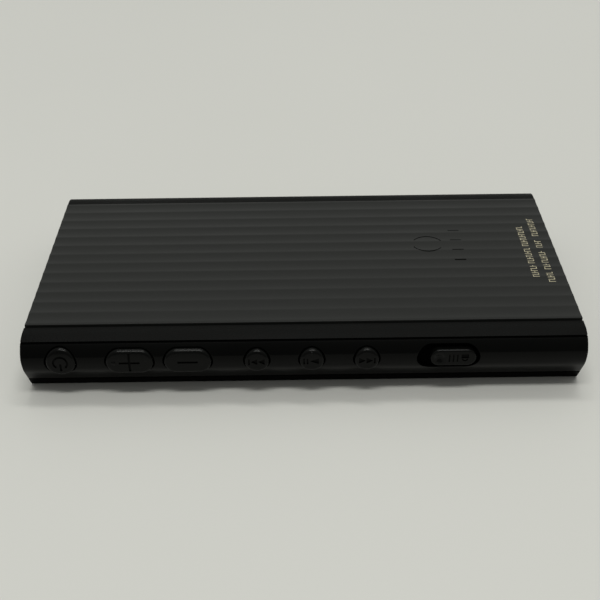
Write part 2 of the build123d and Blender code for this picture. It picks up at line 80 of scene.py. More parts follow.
# --- Body outline, as in the design ------------------------------------------------------------
WIDEST_Z = 8.4 * MM
FLANK_R = 6.5 * MM
FLANK_LEAN = math.radians(33.0)
SHOULDER_R = 2.6 * MM
SHOULDER_SWEEP = math.radians(55.0)
CROWN_R = (BAND_Z - WIDEST_Z - SHOULDER_R * math.sin(SHOULDER_SWEEP)) / (1 - math.sin(SHOULDER_SWEEP))
CROWN_Y = HALF_WIDTH - SHOULDER_R + (SHOULDER_R - CROWN_R) * math.cos(SHOULDER_SWEEP)
CROWN_Z = BAND_Z - CROWN_R
SEAM_HALF = CROWN_Y + math.sqrt(CROWN_R ** 2 - (SEAM_TOP - CROWN_Z) ** 2)
SHOULDER_TOP = math.radians(50.0)   # slope of the frame's shoulder at the seam
SHOULDER_FOOT = 2 * math.atan2(HALF_WIDTH - SEAM_HALF, SEAM_TOP - WIDEST_Z) - SHOULDER_TOP
FRAME_ARC_R = (SEAM_TOP - WIDEST_Z) / (math.sin(SHOULDER_TOP) - math.sin(SHOULDER_FOOT))
WALL = 1.3 * MM
END_WALL = 1.6 * MM
LIP_Y = 24.6 * MM                   # the frame's hollow widens to this lip under the rear cover
LIP_Z = 10.0 * MM
PANEL_SEAT_Y = 22.85 * MM
END_EASE = 0.15 * MM                # fillet round the flat ends
SEAM_EASE = 0.05 * MM               # softened edge beside a seam
SEAM_GAP = 0.08 * MM                # half of the open seam

# --- Keys -----------------------------------------------------------------------------------------
KEY_Z = 7.6 * MM
KEY_GAP = 0.2 * MM
CAP_LEAN = 0.15                     # share of the flank's lean that the caps' faces follow
CAP_SHOULDER = 0.6                  # share of the shoulder's turn that they follow
KEYS = ("power", "volume_up", "volume_down", "next", "play", "previous")
CAP_ROLL = 0.45 * MM                # rounding of a cap's rim
KEY_BACK = 25.0 * MM                # distance of a key's back from the middle plane
MARK_DEPTH = 0.18 * MM
SEGMENTS = 28                       # points round each half circle of a pill
STRAIGHT_STEP = 0.5 * MM            # spacing of points along the straights of a pill
NET_STEP = 0.2 * MM                 # spacing of points over the frame's sides and the caps
FINE_TURNS = (0, 22.5, 45, 67.5, 90)    # degrees round a finely rolled edge
BODY_FINISH, SHADE_FINISH = 0, 1     # places of a piece's own finish and of the darker one in its hollows and seam edges, which is painted shade


# ============================== shapes in the flat ================================================

def half_width(z, inset=0.0):
    """Half width of the body's outline at height z, moved inwards by inset."""
    flank_r, crown_r, arc_r = FLANK_R - inset, CROWN_R - inset, FRAME_ARC_R - inset
    flank_foot = WIDEST_Z - flank_r * math.sin(FLANK_LEAN)
    if z < flank_foot:
        at_foot = HALF_WIDTH - FLANK_R + flank_r * math.cos(FLANK_LEAN)
        return at_foot - (flank_foot - z) * math.tan(FLANK_LEAN)
    if z < WIDEST_Z:
        return HALF_WIDTH - FLANK_R + math.sqrt(flank_r ** 2 - (WIDEST_Z - z) ** 2)
    if z < SEAM_TOP:
        rise = z - WIDEST_Z + FRAME_ARC_R * math.sin(SHOULDER_FOOT)
        return HALF_WIDTH - FRAME_ARC_R * math.cos(SHOULDER_FOOT) + math.sqrt(arc_r ** 2 - rise ** 2)
    return CROWN_Y + math.sqrt(max(crown_r ** 2 - (z - CROWN_Z) ** 2, 0.0))


def ease(distance, radius):
    """How far a surface falls back at a distance from its rounded edge."""
    if distance >= radius:
        return 0.0
    return radius - math.sqrt(max(radius ** 2 - (radius - distance) ** 2, 0.0))


def eased_steps(low, high, step, radius):
    """Places from low to high, evenly spaced, with more of them in the rounding at each end."""
    turns = [radius * (1 - math.cos(math.radians(a))) for a in (0, 18, 36, 54, 72, 90)]
    count = max(2, round((high - low - 2 * radius) / step))
    middle = [low + radius + (high - low - 2 * radius) * i / count for i in range(1, count)]
    return [low + t for t in turns] + middle + [high - t for t in reversed(turns)]


def pill_loop(u, v, width, height, grow=0.0):
    """Points round a slot shape, or a circle, counterclockwise."""
    radius = height / 2 + grow
    reach = (width - height) / 2
    straights = round(2 * reach / STRAIGHT_STEP)
    points = []
    for side, start in ((1, -90), (-1, 90)):
        for i in range(SEGMENTS + 1):
            angle = math.radians(start + 180 * i / SEGMENTS)
            if reach or i < SEGMENTS:
                along = u + side * reach + radius * math.cos(angle)
                points.append((along, v + radius * math.sin(angle)))
        for i in range(1, straights):
            points.append((u + side * reach * (1 - 2 * i / straights), v + side * radius))
    return points


def bar(u, v, width, height):
    """Rectangle by its middle and size."""
    return [(u - width / 2, v - height / 2), (u + width / 2, v - height / 2),
            (u + width / 2, v + height / 2), (u - width / 2, v + height / 2)]


def arrow(u, v, width, height, way):
    """Triangle that points to +u (way 1) or -u (way -1)."""
    return [(u + way * width / 2, v), (u - way * width / 2, v + way * height / 2),
            (u - way * width / 2, v - way * height / 2)]


def arc_band(u, v, radius, width, start, end, count=36):
    """Band of a ring between two angles in degrees."""
    angles = [math.radians(start + (end - start) * i / count) for i in range(count + 1)]

    def arc(reach):
        return [(u + reach * math.cos(a), v + reach * math.sin(a)) for a in angles]

    return arc(radius + width / 2) + arc(radius - width / 2)[::-1]


def subdivide(loop, step):
    """The same loop with no edge longer than a step."""
    points = []
    for (u0, v0), (u1, v1) in zip(loop, loop[1:] + loop[:1]):
        count = max(1, math.ceil(math.hypot(u1 - u0, v1 - v0) / step))
        points += [(u0 + (u1 - u0) * i / count, v0 + (v1 - v0) * i / count) for i in range(count)]
    return points


def inside(points, loop):
    """Which of the points lie inside a closed loop."""
    px, py = np.asarray(points, float).T
    result = np.zeros(len(px), bool)
    for (x0, y0), (x1, y1) in zip(loop, loop[1:] + loop[:1]):
        if y0 == y1:
            continue
        crosses = (y0 > py) != (y1 > py)
        result ^= crosses & (px < (x1 - x0) * (py - y0) / (y1 - y0) + x0)
    return result


def triangulate(outline, holes, inner):
    """Triangles that fill an outline around its holes, through the inner points."""
    points, edges = [], []
    for loop in [outline, *holes]:
        first = len(points)
        points += loop
        edges += [(first + i, first + (i + 1) % len(loop)) for i in range(len(loop))]
    points += inner
    scale = 1 / MM
    flat = [Vector((a * scale, b * scale)) for a, b in points]
    places, _, faces, *_ = delaunay_2d_cdt(flat, edges, [], 0, 1e-6)
    places = [(p.x / scale, p.y / scale) for p in places]
    centres = [tuple(sum(places[i][k] for i in f) / len(f) for k in (0, 1)) for f in faces]
    keep = inside(centres, outline)
    for hole in holes:
        keep &= ~inside(centres, hole)
    return places, [f for f, kept in zip(faces, keep) if kept]


def border(us, vs):
    """Points round the edge of a rectangular net."""
    there = [(u, vs[0]) for u in us] + [(us[-1], v) for v in vs[1:]]
    back = [(u, vs[-1]) for u in us[-2::-1]] + [(us[0], v) for v in vs[-2:0:-1]]
    return there + back


def clear_points(us, vs, loops, margin):
    """Net points that keep a margin from every point of some loops."""
    net = np.array([(u, v) for u in us for v in vs])
    free = np.ones(len(net), bool)
    for loop in loops:
        for point in loop:
            free &= np.hypot(*(net - point).T) > margin
    return [tuple(p) for p in net[free].tolist()]


# ============================== mesh building =====================================================

class Builder:
    """Collects surfaces into one mesh, then welds them."""

    def __init__(self):
        self.bm = bmesh.new()
        self.finish_index = BODY_FINISH

    def face(self, verts):
        """One face, in the finish that is set."""
        self.bm.faces.new(verts).material_index = self.finish_index

    def sheet(self, places, faces, lift):
        """One surface over a flat triangulation."""
        used = sorted({i for f in faces for i in f})
        verts = {i: self.bm.verts.new(lift(*places[i])) for i in used}
        for f in faces:
            self.face([verts[i] for i in f])

    def rings(self, loops):
        """Surface through loops of equally many points, one after another."""
        rows = [[self.bm.verts.new(p) for p in loop] for loop in loops]
        for near, far in zip(rows, rows[1:]):
            for i in range(len(near)):
                j = (i + 1) % len(near)
                self.face((near[i], near[j], far[j], far[i]))
        return rows

    def lid(self, loop):
        """Flat face that closes a loop."""
        self.face([self.bm.verts.new(p) for p in loop])

    def grid(self, us, vs, lift):
        """Surface over a rectangular net of places."""
        rows = [[self.bm.verts.new(lift(u, v)) for v in vs] for u in us]
        for near, far in zip(rows, rows[1:]):
            for i in range(len(vs) - 1):
                self.face((near[i], near[i + 1], far[i + 1], far[i]))

    def slab(self, us, vs, top, bottom):
        """Closed plate between two surfaces over the same net."""
        self.grid(us, vs, top)
        self.grid(us, vs, bottom)
        edge = border(us, vs)
        self.rings([[top(*p) for p in edge], [bottom(*p) for p in edge]])

    def finish(self, name, *materials, sharp=35.0):
        """Weld, face outwards, smooth all but sharp edges, and link the piece."""
        bmesh.ops.remove_doubles(self.bm, verts=self.bm.verts, dist=1e-7)
        bmesh.ops.dissolve_degenerate(self.bm, edges=self.bm.edges, dist=1e-8)
        bmesh.ops.recalc_face_normals(self.bm, faces=self.bm.faces)
        for face in self.bm.faces:
            face.smooth = True
        for edge in self.bm.edges:
            if len(edge.link_faces) == 2 and edge.calc_face_angle() > math.radians(sharp):
                edge.smooth = False
        mesh = bpy.data.meshes.new(name)
        self.bm.to_mesh(mesh)
        self.bm.free()
        piece = bpy.data.objects.new(name, mesh)
        bpy.context.scene.collection.objects.link(piece)
        for material in materials:
            mesh.materials.append(material)
        return piece


def rim(loop, lift, radius, side):
    """Loops that roll over the edge of a hole (side 1) or of a cap (side -1)."""
    loops = []
    for angle in FINE_TURNS:
        turn = math.radians(angle)
        grow = side * radius * (1 - math.sin(turn))
        loops.append([lift(u, v, radius * (1 - math.cos(turn))) for u, v in loop(grow)])
    return loops


def build_cap(build, outline, lift, back, radius, step, marks=(), depth=0.0):
    """Cap with a rolled rim and engraved marks, and side walls down to its back."""
    top = outline(-radius)
    us = np.arange(min(p[0] for p in top) + step, max(p[0] for p in top), step)
    vs = np.arange(min(p[1] for p in top) + step, max(p[1] for p in top), step)
    marks = [subdivide(mark, step) for mark in marks]
    places, faces = triangulate(top, marks, clear_points(us, vs, [top, *marks], step / 2))
    build.sheet(places, faces, lift)
    foot = [back(u, v) for u, v in outline(0.0)]
    build.rings(rim(outline, lift, radius, -1) + [foot])
    build.lid(foot)
    # The engraved marks take the darker finish: painted shade in their hollows.
    build.finish_index = SHADE_FINISH
    for mark in marks:
        places, faces = triangulate(mark, [], clear_points(us, vs, [mark], step / 2))
        build.sheet(places, faces, lambda u, v: lift(u, v, depth))
        build.rings([[lift(u, v) for u, v in mark], [lift(u, v, depth) for u, v in mark]])
    build.finish_index = BODY_FINISH


def place(piece, body, slot, *nodes):
    """Put a piece on its body and hide the CAD nodes that it stands for; its material slot is not used."""
    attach(piece, body)
    if nodes:
        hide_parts(*nodes)
    return piece


# ============================== materials =========================================================

def new_material(name):
    """Empty node material with its tree and its main shader."""
    material = bpy.data.materials.new(name)
    material.use_nodes = True
    tree = material.node_tree
    return material, tree, tree.nodes["Principled BSDF"]


def add_node(tree, kind, **values):
    """Add a node, setting its properties and, by socket name, its inputs."""
    node = tree.nodes.new(kind)
    for key, value in values.items():
        if hasattr(node, key):
            setattr(node, key, value)
        else:
            node.inputs[key.replace("_", " ")].default_value = value
    return node


def object_noise(tree, scale, detail=3.0, stretch=(1, 1, 1)):
    """Noise fixed to the object; scale is in repeats per metre."""
    coords = tree.nodes.new("ShaderNodeTexCoord")
    mapping = tree.nodes.new("ShaderNodeMapping")
    mapping.inputs["Scale"].default_value = stretch
    texture = add_node(tree, "ShaderNodeTexNoise", Scale=scale, Detail=detail)
    tree.links.new(coords.outputs["Object"], mapping.inputs["Vector"])
    tree.links.new(mapping.outputs["Vector"], texture.inputs["Vector"])
    return texture.outputs["Fac"]


def spread(tree, source, low, high, start=0.3, end=0.7):
    """Map a value, such as a noise, from one range to another."""
    node = tree.nodes.new("ShaderNodeMapRange")
    node.inputs["From Min"].default_value = start
    node.inputs["From Max"].default_value = end
    node.inputs["To Min"].default_value = low
    node.inputs["To Max"].default_value = high
    tree.links.new(source, node.inputs["Value"])
    return node.outputs["Result"]


def tint(tree, source, dark, light, start=0.3, end=0.7):
    """Blend two colours by a noise value."""
    ramp = tree.nodes.new("ShaderNodeValToRGB")
    ramp.color_ramp.elements[0].position = start
    ramp.color_ramp.elements[0].color = (*dark, 1)
    ramp.color_ramp.elements[1].position = end
    ramp.color_ramp.elements[1].color = (*light, 1)
    tree.links.new(source, ramp.inputs["Fac"])
    return ramp.outputs["Color"]


def surface(name, dark, light, rough, grain, grain_depth, metallic=0.0, specular=0.5, coat=0.0,
            cloud=60.0, stretch=(1, 1, 1), fine_detail=2.0):
    """Procedural finish: cloudy colour and roughness, and a fine grain raised in the surface."""
    material, tree, shader = new_material(name)
    clouds = object_noise(tree, cloud, 4.0, stretch)
    fine = object_noise(tree, grain, fine_detail, stretch)
    tree.links.new(tint(tree, clouds, dark, light), shader.inputs["Base Color"])
    tree.links.new(spread(tree, clouds, rough[0], rough[1]), shader.inputs["Roughness"])
    bump = add_node(tree, "ShaderNodeBump", Strength=1.0, Distance=grain_depth)
    tree.links.new(fine, bump.inputs["Height"])
    tree.links.new(bump.outputs["Normal"], shader.inputs["Normal"])
    shader.inputs["Metallic"].default_value = metallic
    shader.inputs["Specular IOR Level"].default_value = specular
    shader.inputs["Coat Weight"].default_value = coat
    shader.inputs["Coat Roughness"].default_value = 0.12
    return material


def grey(value, warmth=0.0):
    """Neutral colour, or a warmer one."""
    return (value * (1 + warmth), value, value * (1 - warmth))


def soot(value):
    """Black with the faint olive cast of the body."""
    return (value * 0.98, value * 1.03, value * 0.94)


def make_materials():
    """Every finish, by material slot, and four that only the pieces made here have."""
    made = {
        "frame_black": surface("frame_finish", soot(0.0012), soot(0.0018), (0.15, 0.18), 5200, 4e-7,
                               specular=0.075),
        "cover_black": surface("cover_finish", soot(0.0016), soot(0.0028), (0.5, 0.62), 2400, 7e-5,
                               specular=0.06),
        "panel_black": surface("panel_finish", soot(0.008), soot(0.010), (0.42, 0.5), 5200, 3e-6,
                               specular=0.18),
        # Black of the bezel, pushed darker and almost unreflecting: partly the part's own black, partly
        # painted contact shade along the lower edge.
        "bezel_black": surface("bezel_black_and_contact_shade", soot(0.0003), soot(0.0005), (0.3, 0.36), 4000, 3e-7,
                               specular=0.01),
        "key_black": surface("key_finish", soot(0.0014), soot(0.0022), (0.2, 0.26), 5200, 2e-6,
                             specular=0.11),
        "display_dark": surface("display_finish", grey(0.006), grey(0.008), (0.12, 0.16), 3000, 1e-7),
        "gasket_black": surface("gasket_finish", grey(0.015), grey(0.025), (0.7, 0.85), 5000, 2e-5),
        "plate_metal": surface("plate_finish", grey(0.42), grey(0.52), (0.38, 0.5), 2600, 5e-6,
                               metallic=1.0),
        "sheet_steel": surface("steel_finish", grey(0.5), grey(0.62), (0.25, 0.36), 3000, 2e-6,
                               metallic=1.0, stretch=(0.15, 1, 1)),
        "bright_metal": surface("nickel_finish", grey(0.66), grey(0.76), (0.14, 0.22), 3000, 1e-6,
                                metallic=1.0),
        "gold_metal": surface("gold_finish", (0.72, 0.5, 0.2), (0.82, 0.6, 0.28), (0.16, 0.24), 3000,
                              1e-6, metallic=1.0),
        "board_green": surface("board_finish", (0.004, 0.03, 0.016), (0.01, 0.055, 0.03), (0.3, 0.42),
                               1500, 2e-5, coat=0.3, cloud=900),
        "chip_black": surface("chip_finish", grey(0.018), grey(0.026), (0.5, 0.62), 6000, 8e-6),
        "insulator_black": surface("insulator_finish", grey(0.012), grey(0.018), (0.4, 0.5), 3500, 4e-6),
        "flex_amber": surface("flex_finish", (0.3, 0.11, 0.02), (0.42, 0.18, 0.04), (0.25, 0.36), 900,
                              3e-6, coat=0.4),
        "graphite": surface("graphite_finish", grey(0.05), grey(0.075), (0.35, 0.5), 2400, 4e-6,
                            metallic=0.5),
        "battery_foil": surface("foil_finish", grey(0.3), grey(0.36), (0.3, 0.42), 1200, 1e-5,
                                metallic=0.7),
        "foam_grey": surface("foam_finish", grey(0.06), grey(0.11), (0.85, 0.95), 3000, 1e-4),
        "lead_red": surface("lead_finish", (0.35, 0.012, 0.01), (0.45, 0.02, 0.015), (0.35, 0.45), 2000,
                            4e-6),
        "connector_white": surface("connector_finish", grey(0.62, 0.03), grey(0.7, 0.03), (0.4, 0.5),
                                   2500, 5e-6),
        "capacitor_orange": surface("capacitor_finish", (0.4, 0.16, 0.03), (0.5, 0.22, 0.05),
                                    (0.25, 0.35), 1800, 6e-6, coat=0.3),
    }
    made["print_gold"] = surface("print_finish", (0.4, 0.36, 0.24), (0.48, 0.43, 0.3), (0.35, 0.45),
                                 6000, 1e-6, metallic=0.3)
    # Near-black, unreflecting finish of the openings, the seam edge, the hold recess and the nail groove:
    # painted shade.
    made["recess"] = surface("recess_painted_shade", soot(0.0002), soot(0.0004), (0.7, 0.8), 4000, 1e-6,
                             specular=0.01)
    # Darker finish of the engraved marks on the keys and the hold knob: painted shade in the engravings.
    made["engraving"] = surface("engraving_painted_shade", soot(0.0005), soot(0.0009), (0.35, 0.45), 5000, 5e-7,
                                specular=0.05)
    made["gloss_mark"] = surface("gloss_mark_finish", soot(0.0006), soot(0.001), (0.2, 0.3), 5000, 5e-7,
                                 specular=0.03)
    glass, tree, shader = new_material("glass_finish")
    smudge = object_noise(tree, 80.0, 5.0)
    tree.links.new(spread(tree, smudge, 0.02, 0.07), shader.inputs["Roughness"])
    shader.inputs["Base Color"].default_value = (0.9, 0.93, 0.95, 1)
    shader.inputs["Transmission Weight"].default_value = 1.0
    shader.inputs["IOR"].default_value = 1.5
    made["screen_glass"] = glass
    return made


MATERIALS = make_materials()


def dress_frame():
    """Give every CAD node the finish of its material slot."""
    slots = {s["node"]: s["material_slot"] for s in frame["record"]["subparts"]}
    for name, node in frame["nodes"].items():
        node.data.materials.clear()
        node.data.materials.append(MATERIALS[slots[name]])


# ============================== frame =============================================================

RIM = 0.1 * MM                      # softened edge of the openings
OPENING_FLARE = 0.1 * MM            # part of a wall's thickness that an opening's flare takes
PORT_Z = 7.45 * MM
JACK_Y = 12.0 * MM
# Openings of the port end: middle y and z, width and height.
PORTS = (
    (JACK_Y, PORT_Z, 6.24 * MM, 6.24 * MM),         # headphone jack
    (0.0, PORT_Z, 9.34 * MM, 3.66 * MM),            # USB-C port
    (-14.0 * MM, PORT_Z, 13.7 * MM, 2.6 * MM),      # card door
    (21.3 * MM, PORT_Z, 4.6 * MM, 2.4 * MM),        # strap eye
)
# Recess of the hold slider: middle x and z, width and height.
HOLD_SLOT = (25.05 * MM, KEY_Z, 11.0 * MM, 5.0 * MM)
HOLD_PAD = (25.05 * MM, KEY_Z, 12.9 * MM, 5.4 * MM)
HOLD_LEVER_SLOT = (24.9 * MM, KEY_Z, 4.7 * MM, 1.5 * MM)
HOLD_FLOOR = 26.6 * MM              # distance of the recess floor from the middle plane
HOLD_PAD_BACK = 25.6 * MM
KEY_WINGS = 0.6 * MM                # reach of a key's wings behind the frame wall


def seam_ease(z, low, high):
    """How far a wall falls back at height z, beside the seam below it or above it."""
    return ease(z - low, SEAM_EASE) + ease(high - z, SEAM_EASE)


def key_pill(name):
    """Middle x, width and height of a key, from its CAD node."""
    low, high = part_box(f"{name}_button")
    return (low.x + high.x) / 2, high.x - low.x - 2 * KEY_WINGS, high.z - low.z


def cap_reach(z, proud):
    """Distance of a cap's face from the middle plane: almost plumb up to the widest line."""
    share = CAP_LEAN if z < WIDEST_Z else CAP_SHOULDER
    return HALF_WIDTH + proud - share * (HALF_WIDTH - half_width(z))


def key_opening(name):
    """Middle x and z, width and height of the hole for a key."""
    x, width, height = key_pill(name)
    return x, KEY_Z, width + 2 * KEY_GAP, height + 2 * KEY_GAP


def inner_width(z):
    """Half width of the frame's hollow, which opens to a lip under the rear cover."""
    return LIP_Y if z > LIP_Z else half_width(z, WALL)


def build_wall(build, us, vs, openings, outer, hollow, deepest):
    """Closed wall between two surfaces, with holes through it."""
    outline = border(us, vs)
    holes = [pill_loop(*opening, grow=RIM) for opening in openings]
    rolled_rows = [v for v in vs[1:-1] if min(v - vs[0], vs[-1] - v) < 1.1 * SEAM_EASE]
    middle_rows = [v for v in vs[1:-1] if v not in rolled_rows]
    inner = clear_points(us[1:-1], middle_rows, holes, 0.65 * NET_STEP)
    inner += clear_points(us[1:-1], rolled_rows, holes, 0.1 * NET_STEP)
    places, faces = triangulate(outline, holes, inner)
    build.sheet(places, faces, outer)
    build.sheet(places, faces, hollow)
    build.rings([[outer(*p) for p in outline], [hollow(*p) for p in outline]])
    for opening in openings:
        rolled = rim(lambda grow: pill_loop(*opening, grow=grow), outer, RIM, 1)
        straight = [outer(u, v, deepest) for u, v in pill_loop(*opening)]
        back = [hollow(u, v) for u, v in pill_loop(*opening, grow=RIM)]
        build.rings(rolled)
        # The walls inside the openings take the darker finish: painted shade in the holes.
        build.finish_index = SHADE_FINISH
        build.rings([rolled[-1], straight, back])
        build.finish_index = BODY_FINISH


def build_side_wall(build, side, openings):
    """Long side wall of the frame, with a closer net of points round its openings."""
    low, high = SEAM_BOTTOM + SEAM_GAP, SEAM_TOP - SEAM_GAP
    us = eased_steps(-HALF_LENGTH, HALF_LENGTH, 1.0 * MM, END_EASE)
    for x, _, width, _ in openings:
        reach = width / 2 + 0.6 * MM
        close = np.arange(x - reach, x + reach, 0.25 * MM).tolist()
        us = sorted([u for u in us if abs(u - x) > reach + 0.1 * MM] + close)
    vs = eased_steps(low, high, NET_STEP, SEAM_EASE)

    def along(x, z):
        return x * (1 - seam_ease(z, low, high) / HALF_LENGTH)

    def outer(x, z, depth=0.0):
        inset = seam_ease(z, low, high) + ease(HALF_LENGTH - abs(x), END_EASE)
        return Vector((along(x, z), side * (half_width(z, inset) - depth), z))

    def hollow(x, z):
        return Vector((along(x, z), side * inner_width(z), z))

    build_wall(build, us, vs, openings, outer, hollow, WALL - OPENING_FLARE)


def build_end_wall(build, end, openings):
    """Flat end wall of the frame, between the long side walls."""
    low, high = SEAM_BOTTOM + SEAM_GAP, SEAM_TOP - SEAM_GAP
    clearance, stretch = 0.001 * MM, 0.96
    vs = eased_steps(low, high, 0.4 * MM, SEAM_EASE)
    us = [i / 24 for i in range(-24, 25)]
    span = 24.0 * MM

    def outer(u, z, depth=0.0):
        # The last part of the span stretches to the hollow's width at this height.
        edge = (inner_width(z) - clearance - span) * max(0.0, abs(u) / span - stretch) / (1 - stretch)
        x = end * (HALF_LENGTH - seam_ease(z, low, high) - depth)
        return Vector((x, u + math.copysign(edge, u), z))

    def hollow(u, z):
        return Vector((end * (HALF_LENGTH - END_WALL), outer(u, z).y, z))

    places = [u * span for u in us]
    build_wall(build, places, vs, openings, outer, hollow, END_WALL - OPENING_FLARE)


def build_hold_floor(build):
    """Pad that floors the hold slider's recess, with the slot that its lever runs in."""
    plate = subdivide(bar(*HOLD_PAD), 1.0 * MM)
    slot = subdivide(bar(*HOLD_LEVER_SLOT), 1.0 * MM)
    places, faces = triangulate(plate, [slot], [])

    def front(x, z):
        return Vector((x, -HOLD_FLOOR, z))

    def back(x, z):
        return Vector((x, -HOLD_PAD_BACK, z))

    # The recess floor takes the darker finish: painted shade in the recess.
    build.finish_index = SHADE_FINISH
    build.sheet(places, faces, front)
    build.sheet(places, faces, back)
    for loop in (plate, slot):
        build.rings([[front(*p) for p in loop], [back(*p) for p in loop]])
    build.finish_index = BODY_FINISH


def make_frame():
    """Frame with its top edge along the seam darkened as painted shade, and the recess of the hold slider.
    """
    build = Builder()
    build_side_wall(build, -1, [key_opening(name) for name in KEYS] + [HOLD_SLOT])
    build_side_wall(build, 1, [])
    build_end_wall(build, -1, [])
    build_end_wall(build, 1, PORTS)
    build_hold_floor(build)
    # Faces along the seam take the near-black recess finish: painted shade that hides the edge's highlight.
    for face in build.bm.faces:
        if face.calc_center_median().z > SEAM_TOP - SEAM_GAP - SEAM_EASE:
            face.material_index = SHADE_FINISH
    shell = build.finish("frame_shell", MATERIALS["frame_black"], MATERIALS["recess"])
    place(shell, "case", "frame_black", "frame")


# ============================== front =============================================================

BEZEL_OPENING = (42.3 * MM, 23.0 * MM)      # half length and half width
BEZEL_RECESS = (48.45 * MM, 23.8 * MM)      # seat of the glass
BEZEL_RECESS_TOP = 0.95 * MM
BEZEL_FOOT_EASE = 0.1 * MM
GLASS_CORNER = 1.1 * MM
GLASS_ROLL = 0.2 * MM


def plan_loop(half_x, half_y, z, corner, support=0.15 * MM):
    """Points round a rectangle with rounded corners, seen from above, and one beside each corner."""
    points = []
    corners = ((1, 1, 0), (-1, 1, 90), (-1, -1, 180), (1, -1, 270))
    for sx, sy, start in corners:
        cx, cy = sx * (half_x - corner), sy * (half_y - corner)
        angles = [math.radians(start + a) for a in range(0, 91, 15)]
        arc = [(cx + corner * math.cos(a), cy + corner * math.sin(a)) for a in angles]
        along = -1 if sx * sy > 0 else 1
        before, after = arc[0], arc[-1]
        if along < 0:
            arc = [(before[0], before[1] - sy * support)] + arc + [(after[0] - sx * support, after[1])]
        else:
            arc = [(before[0] - sx * support, before[1])] + arc + [(after[0], after[1] - sy * support)]
        points += [Vector((x, y, z)) for x, y in arc]
    return points


def make_bezel():
    """Gloss ring between the frame and the glass, in a black made darker and duller than the part as painted
    contact shade.
    """
    low, high = BEZEL_LOW.z, BEZEL_HIGH.z - SEAM_GAP
    heights = [low + BEZEL_FOOT_EASE * (1 - math.cos(math.radians(a))) for a in (0, 30, 60, 90)]
    straight = high - SEAM_EASE - low - BEZEL_FOOT_EASE
    heights += [low + BEZEL_FOOT_EASE + straight * i / 5 for i in range(1, 5)]
    heights += [high - SEAM_EASE * (1 - math.cos(math.radians(a))) for a in (90, 60, 30, 0)]
    loops = []
    for z in heights:
        inset = ease(z - low, BEZEL_FOOT_EASE) + ease(high - z, SEAM_EASE)
        loops.append(plan_loop(HALF_LENGTH - inset, half_width(z, inset), z, END_EASE))
    opening_corner, recess_corner = 0.3 * MM, 0.9 * MM
    loops.append(plan_loop(*BEZEL_OPENING, high, opening_corner))
    loops.append(plan_loop(*BEZEL_OPENING, BEZEL_RECESS_TOP, opening_corner))
    loops.append(plan_loop(*BEZEL_RECESS, BEZEL_RECESS_TOP, recess_corner))
    loops.append(plan_loop(*BEZEL_RECESS, low, recess_corner))
    build = Builder()
    build.rings(loops + [loops[0]])
    place(build.finish("front_bezel_ring", MATERIALS["bezel_black"]), "case", "bezel_black", "front_bezel")


def make_glass():
    """Cover glass with rolled edges; its outer face is the lowest face of the player."""
    low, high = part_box("front_glass")
    loops = []
    for angle in FINE_TURNS:
        turn = math.radians(angle)
        inset = GLASS_ROLL * (1 - math.sin(turn))
        z = low.z + GLASS_ROLL * (1 - math.cos(turn))
        loops.append(plan_loop(high.x - inset, high.y - inset, z, GLASS_CORNER))
    loops.append(plan_loop(high.x, high.y, high.z, GLASS_CORNER))
    build = Builder()
    build.rings(loops)
    build.lid(loops[0])
    build.lid(loops[-1])
    place(build.finish("cover_glass", MATERIALS["screen_glass"]), "case", "screen_glass", "front_glass")


# ============================== rear ==============================================================

WAVES = 13
WAVE_PITCH = 3.39 * MM
CREST_HALF = 0.3 * MM               # half width of a crest, up to where the valley starts
CREST_DROP = 0.018 * MM
WAVE_DEPTH = 0.1 * MM
PANEL_EASE = 0.06 * MM
PANEL_CLEARANCE = 0.12 * MM         # extra gap beside the panel
COVER_FLOOR_TOP = 10.95 * MM
COVER_FLOOR_X = 47.4 * MM           # half length of the cover's floor
COVER_INNER_EASE = 0.08 * MM


def arc_drop(distance, half_chord, rise):
    """Fall of an arc below its top, at a distance from its middle."""
    radius = (half_chord ** 2 + rise ** 2) / (2 * rise)
    return radius - math.sqrt(radius ** 2 - distance ** 2)


def panel_height(y):
    """Height of the corrugated panel's face at distance y from the middle."""
    waves = y / WAVE_PITCH + WAVES / 2
    nearest = min(max(round(waves), 0), WAVES)
    from_crest = abs(waves - nearest) * WAVE_PITCH
    if from_crest < CREST_HALF or waves < 0 or waves > WAVES:
        return PANEL_HIGH.z - arc_drop(min(from_crest, 2 * CREST_HALF), CREST_HALF, CREST_DROP)
    half_valley = WAVE_PITCH / 2 - CREST_HALF
    fall = WAVE_DEPTH - CREST_DROP
    return PANEL_HIGH.z - WAVE_DEPTH + arc_drop(WAVE_PITCH / 2 - from_crest, half_valley, fall)


def make_panel():
    """Corrugated rear panel with softened edges."""
    low = PANEL_LOW + Vector((0, PANEL_CLEARANCE, 0))
    high = PANEL_HIGH - Vector((0, PANEL_CLEARANCE, 0))
    us = eased_steps(low.x, high.x, 6.0 * MM, PANEL_EASE)
    vs = eased_steps(low.y, high.y, WAVE_PITCH / 18, PANEL_EASE)

    def top(x, y):
        fall = ease(high.x - abs(x), PANEL_EASE) + ease(high.y - abs(y), PANEL_EASE)
        return Vector((x, y, panel_height(y) - fall))

    def bottom(x, y):
        return Vector((x, y, low.z))

    build = Builder()
    build.slab(us, vs, top, bottom)
    place(build.finish("corrugated_panel", MATERIALS["panel_black"]), "case", "panel_black", "rear_panel")


